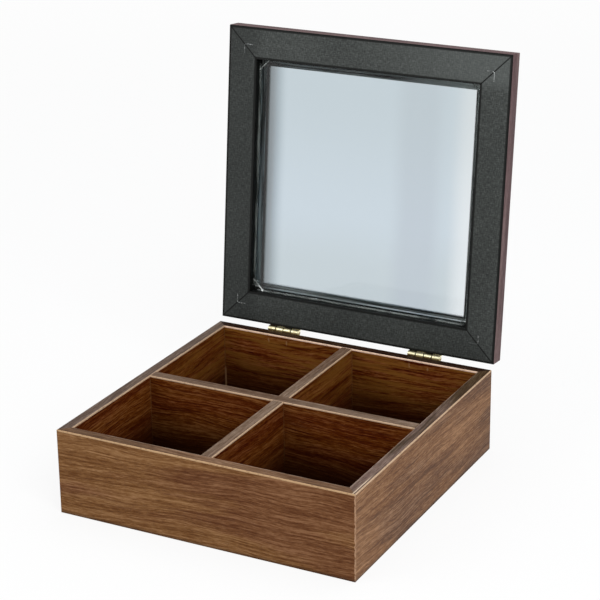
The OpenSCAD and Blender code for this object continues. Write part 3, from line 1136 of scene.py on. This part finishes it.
def yellow_brass():
    """Plated brass, brushed along the strip, with dull spots. Painted light makes the knuckles cream
    above and olive below, and painted shade darkens the gaps between the knuckles and the leaf under
    the lid.
    """
    brass = Finish("hinge brass")
    x, y, z = brass.in_object()
    brushed = brass.noise(brass.spot(x * 150, y * 3000, z * 3000), detail=3.0)
    spots = brass.noise(brass.spot(x * 500, y * 500, z * 500), detail=3.0)
    dull = brass.between(spots, 0.5, 0.7)
    from_middle = abs(abs(x) - hinge_x)
    to_gap = from_middle.least(abs(from_middle - knuckle_pitch))
    from_pin = brass.distance(brass.spot(y - pin_y, z - pin_z))
    barrel = brass.between(from_pin, barrel_r + 0.25 * mm, barrel_r + 0.1 * mm)
    gap_shade = brass.between(to_gap, 0.4 * mm, 0.2 * mm) * barrel
    lid_shadow = brass.between(z, pin_z + 1.4 * mm, pin_z + 1.6 * mm) * (1.0 - barrel)
    lit_top = brass.between(z, pin_z - 0.3 * mm, pin_z + 0.5 * mm)
    # Painted light and shade: cream on the upper half of the knuckles, olive below.
    colour = brass.mixed(lit_top, paint(152, 136, 84), paint(250, 241, 198))
    colour = brass.mixed(dull * 0.4, colour, paint(140, 124, 74))
    # Painted shade in the gaps between the knuckles and on the leaf under the lid.
    return brass.done({
        "Base Color": brass.mixed(gap_shade * 0.9 + lid_shadow * 0.85, colour, paint(36, 30, 16)),
        "Metallic": 1.0,
        "Roughness": 0.22 + brushed * 0.14 + dull * 0.15,
        "Normal": brass.bump(brushed, 0.01 * mm),
    })


hinge_brass = yellow_brass()


def eased_copy(node, name, arris, body):
    """The construction's own shape with its doubles merged, its flat faces joined and its
    arrises eased."""
    shape = bmesh.new()
    shape.from_mesh(nodes[node].data)
    shape.transform(nodes[node].matrix_world)
    bmesh.ops.remove_doubles(shape, verts=shape.verts, dist=0.002 * mm)
    bmesh.ops.dissolve_limit(shape, angle_limit=math.radians(1), verts=shape.verts, edges=shape.edges)
    mesh = mesh_of(shape, name, smooth_to=35)
    mesh.materials.clear()
    mesh.materials.append(hinge_brass)
    piece = put_in_scene(name, mesh)
    if arris:
        ease(piece, arris, sharper_than=40)
    hand_over(piece, body, "hinge_brass", node)


for hand in ("left", "right"):
    eased_copy(hand + "_hinge_box_leaf", hand + "_fixed_leaf", leaf_arris, "box")
    eased_copy(hand + "_hinge_pin", hand + "_pin", 0.0, "box")
    eased_copy(hand + "_hinge_lid_leaf", hand + "_lid_leaf", leaf_arris, "lid")


# Screws
# Two small brass countersunk screws with a cross recess hold each leaf. They are driven into
# the wood until their heads are flush with the leaf.

screw_pitch = 12 * mm
head_r = 1.6 * mm
head_h = 0.7 * mm
shank_r = 0.8 * mm
screw_len = 5.5 * mm
recess_deep = 0.28 * mm
arm_reach = 1.3
arm_width = 0.3
driven_turn = math.radians(25)


def screw_set(name, face_y, middle_z, matrix):
    """The four screws of two like leaves."""
    driving = Recipe(name, {
        "Hinge": hinge_x,
        "Pitch": screw_pitch,
        "Head": head_r,
        "Countersink": head_h,
        "Shank": shank_r,
        "Length": screw_len,
        "Face": face_y,
        "Middle": middle_z,
    })
    size = driving.size

    def cone(vertices, top, bottom, depth):
        values = {"Vertices": vertices, "Radius Top": top, "Radius Bottom": bottom, "Depth": depth}
        return driving.node("GeometryNodeMeshCone", None, values)

    def raised(shape, height):
        values = {"Geometry": shape, "Translation": driving.spot(0.0, 0.0, height)}
        return driving.node("GeometryNodeTransform", None, values)

    def cross_arm(across, thin):
        arm = driving.spot(size("Head") * across, size("Head") * thin, recess_deep * 2)
        return driving.node("GeometryNodeMeshCube", None, {"Size": arm})

    def line_of_two(hand):
        start = size("Hinge") * hand - size("Pitch") * 0.5
        values = {
            "Count": 2,
            "Start Location": driving.spot(start, size("Face"), size("Middle")),
            "Offset": driving.spot(size("Pitch"), 0.0, 0.0),
        }
        return driving.node("GeometryNodeMeshLine", {"mode": "OFFSET"}, values)

    cross = driving.joined_shapes(
        cross_arm(arm_reach, arm_width),
        cross_arm(arm_width, arm_reach),
    )
    recessed = driving.node(
        "GeometryNodeMeshBoolean",
        {"operation": "DIFFERENCE", "solver": "EXACT"},
        {
            "Mesh 1": cone(32, size("Head"), size("Shank"), size("Countersink")),
            "Mesh 2": raised(cross, size("Countersink")),
        },
    )
    shank = cone(16, size("Shank"), size("Shank") * 0.2, size("Length") - size("Countersink"))
    screw = driving.joined_shapes(
        raised(recessed, 0.0 - size("Countersink")),
        raised(shank, 0.0 - size("Length")),
    )
    placed = driving.node(
        "GeometryNodeInstanceOnPoints",
        None,
        {
            "Points": driving.joined_shapes(line_of_two(-1.0), line_of_two(1.0)),
            "Instance": screw,
            "Rotation": (-math.pi / 2, driven_turn, 0.0),
        },
    )
    return driving.cast(name, placed, hinge_brass, matrix)


leaf_t = 0.8 * mm
leaf_h = 6.4 * mm
pin_stand = 2.0 * mm
lid_edge = 2.1 * mm
box_plate_top = -2.0 * mm
lid_plate_low = 1.5 * mm
box_face_y = pin_y - pin_stand + leaf_t
lid_face_y = pin_y - lid_edge + leaf_t
box_plate_z = pin_z + box_plate_top - leaf_h / 2
lid_plate_z = pin_z + lid_plate_low + leaf_h / 2
box_screws = screw_set("box_leaf_screws", box_face_y, box_plate_z, Matrix.Identity(4))
hand_over(box_screws, "box", "hinge_brass", "left_box_screws", "right_box_screws")
lid_screws = screw_set("lid_leaf_screws", lid_face_y, lid_plate_z, opening)
hand_over(lid_screws, "lid", "hinge_brass", "left_lid_screws", "right_lid_screws")


# Studio
# A plain white floor that keeps a soft shadow, a white sky, three large soft lamps, and the
# camera at the photograph's place.

floor_half = 5.0
floor_corners = [(x * floor_half, y * floor_half, 0) for x, y in ((-1, -1), (1, -1), (1, 1), (-1, 1))]
floor_mesh = bpy.data.meshes.new("studio_floor")
floor_mesh.from_pydata(floor_corners, [], [(0, 1, 2, 3)])
floor = put_in_scene("studio_floor", floor_mesh)


def rays(graph, *names):
    """1 where one of the named kinds of ray arrives, and 0 for the others."""
    paths = graph.node("ShaderNodeLightPath").socket.node
    arriving, *others = [Channel(graph, paths.outputs["Is " + name + " Ray"]) for name in names]
    for other in others:
        arriving = arriving.most(other)
    return arriving


paper_floor = Finish("floor paper")
shown = rays(paper_floor, "Camera", "Glossy", "Transmission")
matt = paper_floor.node("ShaderNodeBsdfDiffuse", None, {"Color": (0.82, 0.82, 0.82, 1.0)})
glow = paper_floor.node("ShaderNodeEmission", None, {"Color": (1.0, 1.0, 1.0, 1.0), "Strength": 1.0})
floor_x, floor_y, _ = paper_floor.in_object()
away = paper_floor.distance(paper_floor.spot(floor_x, floor_y))
whiteness = 0.85 + paper_floor.between(away, 0.4, 2.0) * 0.15
floor_look = paper_floor.node("ShaderNodeMixShader", None, {0: shown * whiteness, 1: matt, 2: glow})
paper_floor.node("ShaderNodeOutputMaterial", None, {"Surface": floor_look})
floor_mesh.materials.append(paper_floor.material)

world = bpy.data.worlds.new("studio")
bpy.context.scene.world = world
world.use_nodes = True
world.node_tree.nodes.clear()
sky = Graph(world.node_tree)
sky_seen = rays(sky, "Camera", "Transmission")
soft_sky = sky.node("ShaderNodeBackground", None, {"Color": (0.96, 0.98, 1.0, 1.0), "Strength": 0.55})
white_sky = sky.node("ShaderNodeBackground", None, {"Color": (1.0, 1.0, 1.0, 1.0), "Strength": 1.0})
sky_look = sky.node("ShaderNodeMixShader", None, {0: sky_seen, 1: soft_sky, 2: white_sky})
sky.node("ShaderNodeOutputWorld", None, {"Surface": sky_look})

object_middle = Vector((0, 0, 0.06))


def soft_lamp(name, place, size, watts):
    """A square soft box that looks at the object."""
    data = bpy.data.lights.new(name, "AREA")
    data.size = size
    data.energy = watts
    lamp = put_in_scene(name, data)
    lamp.location = place
    lamp.rotation_euler = (object_middle - Vector(place)).to_track_quat("-Z", "Y").to_euler()


soft_lamp("key_box", (1.2, -1.0, 1.4), 1.2, 26)
soft_lamp("side_box", (-1.2, -1.2, 1.1), 1.2, 9)
soft_lamp("top_box", (0.2, 0.6, 2.0), 1.2, 9)

camera_place = (0.486645, -0.9031, 0.497523)
camera_data = bpy.data.cameras.new("photo_camera")
camera_data.sensor_width = 36
camera_data.lens = 119.855
camera_data.clip_start = 0.01
camera_data.clip_end = 50
camera = put_in_scene("photo_camera", camera_data)
bearing = math.radians(-27.6835)
dip = math.radians(-20.7469)
roll = math.radians(-0.7014)
ahead = Vector((
    math.sin(bearing) * math.cos(dip),
    math.cos(bearing) * math.cos(dip),
    math.sin(dip),
))
level = Vector((math.cos(bearing), -math.sin(bearing), 0))
upward = level.cross(ahead)
camera_x = level * math.cos(roll) + upward * math.sin(roll)
camera_y = upward * math.cos(roll) - level * math.sin(roll)
axes = Matrix((camera_x, camera_y, -ahead)).transposed().to_4x4()
camera.matrix_world = Matrix.Translation(camera_place) @ axes
bpy.context.scene.camera = camera
bpy.context.scene.view_settings.view_transform = "Standard"
